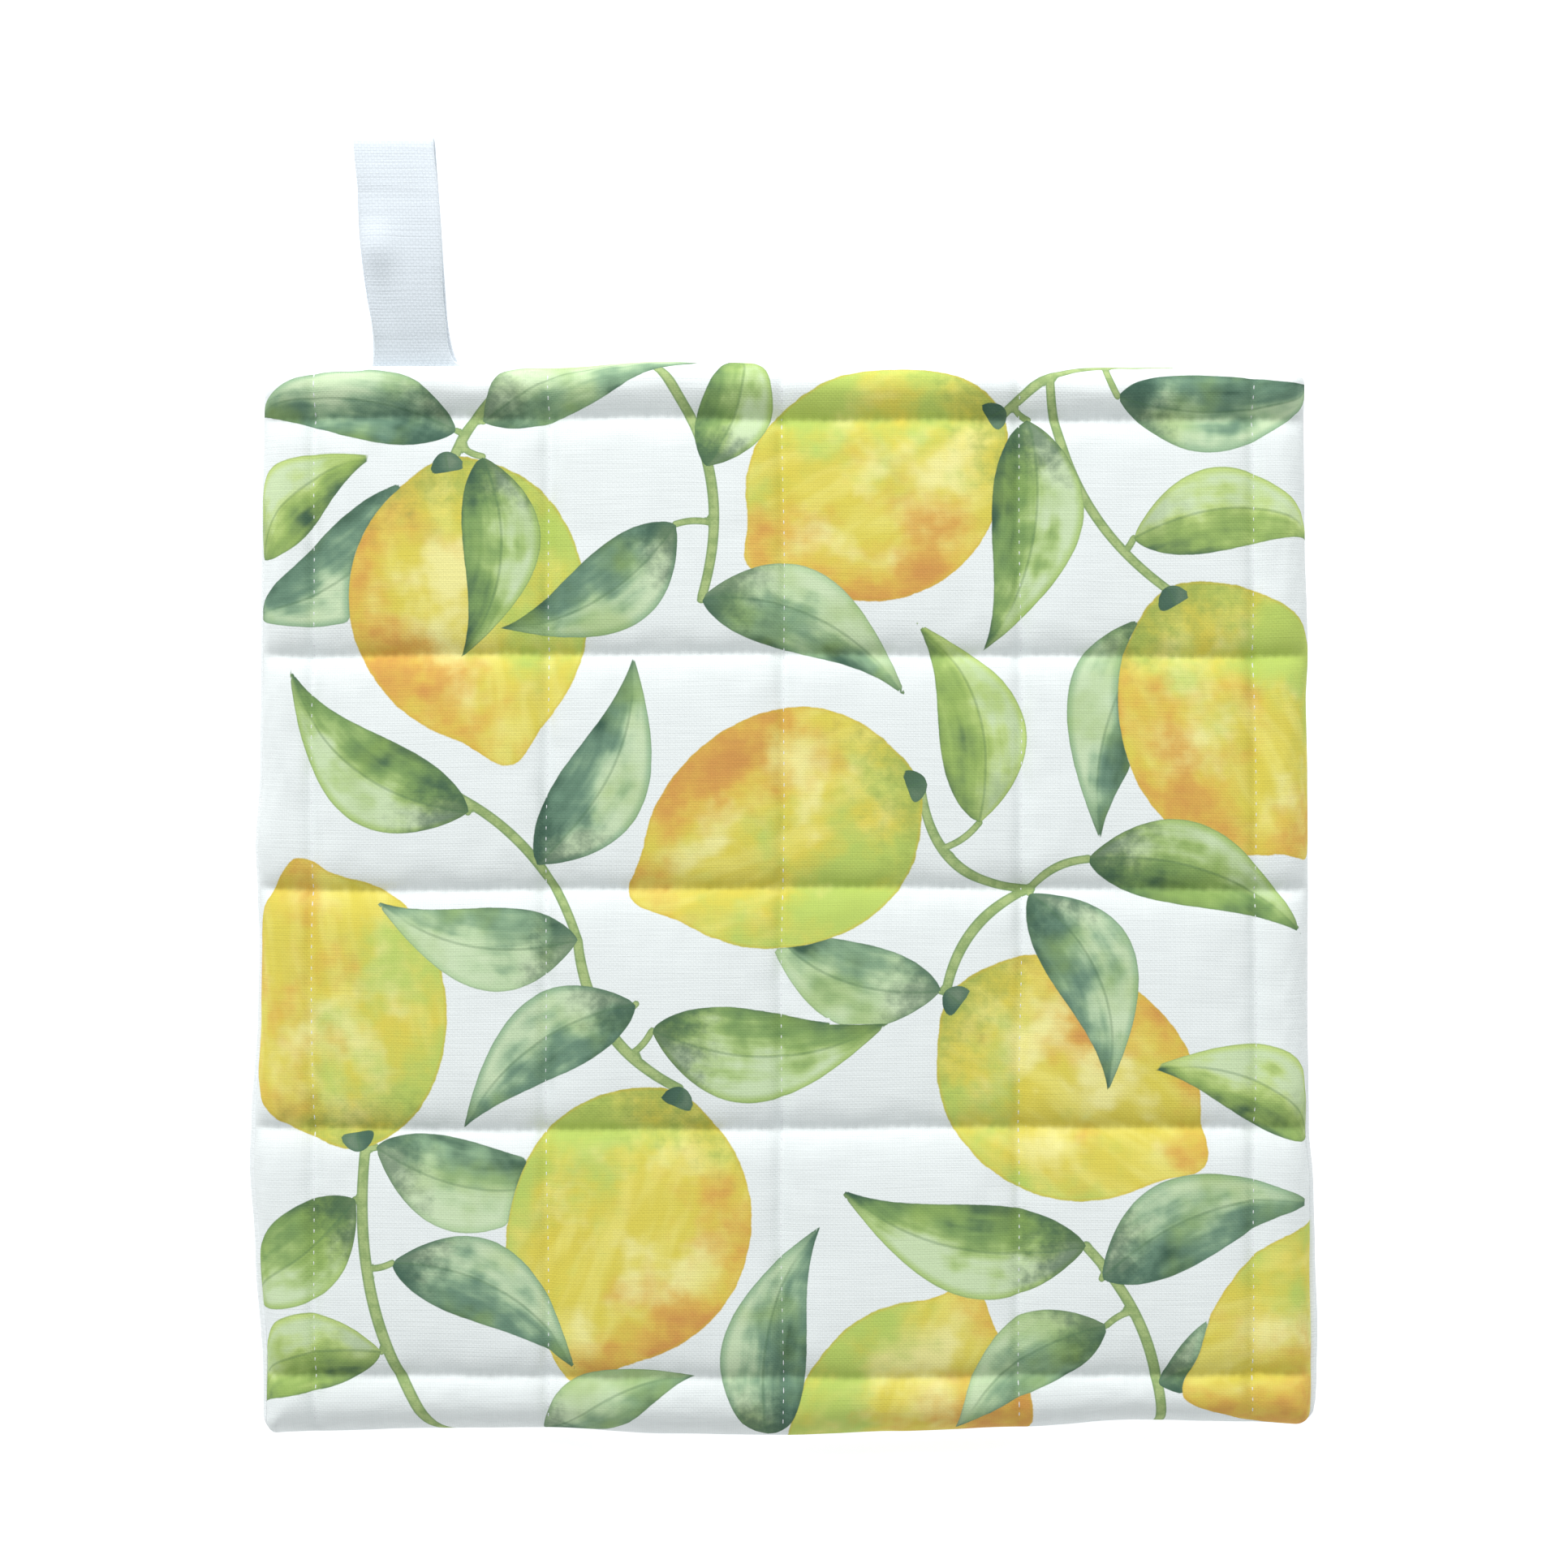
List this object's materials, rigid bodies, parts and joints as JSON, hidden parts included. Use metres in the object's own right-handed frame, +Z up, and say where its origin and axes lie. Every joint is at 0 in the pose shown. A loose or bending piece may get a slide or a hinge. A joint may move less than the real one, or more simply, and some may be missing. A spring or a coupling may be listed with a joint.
{
  "type": "pot holder",
  "caption": "Square quilted cotton pot holder with a lemon and leaf print, a plain back and a folded tape hanging loop.",
  "frame": {"origin": "on the table, under the middle of the whole pot holder with its loop", "axes": "+X to the pad's right, +Y up the pad towards the hanging loop, +Z up out of the printed face"},
  "size_m": [0.205, 0.2496, 0.0105],
  "materials": {
    "printed_cotton": "plain-woven cotton, printed, matt",
    "white_cotton": "plain-woven cotton, undyed white, matt",
    "cotton_tape": "woven cotton tape, white, matt"
  },
  "bodies": {
    "root": {"front_panel": "printed_cotton", "back_panel": "white_cotton", "hanging_loop": "cotton_tape"}
  },
  "joints": []
}
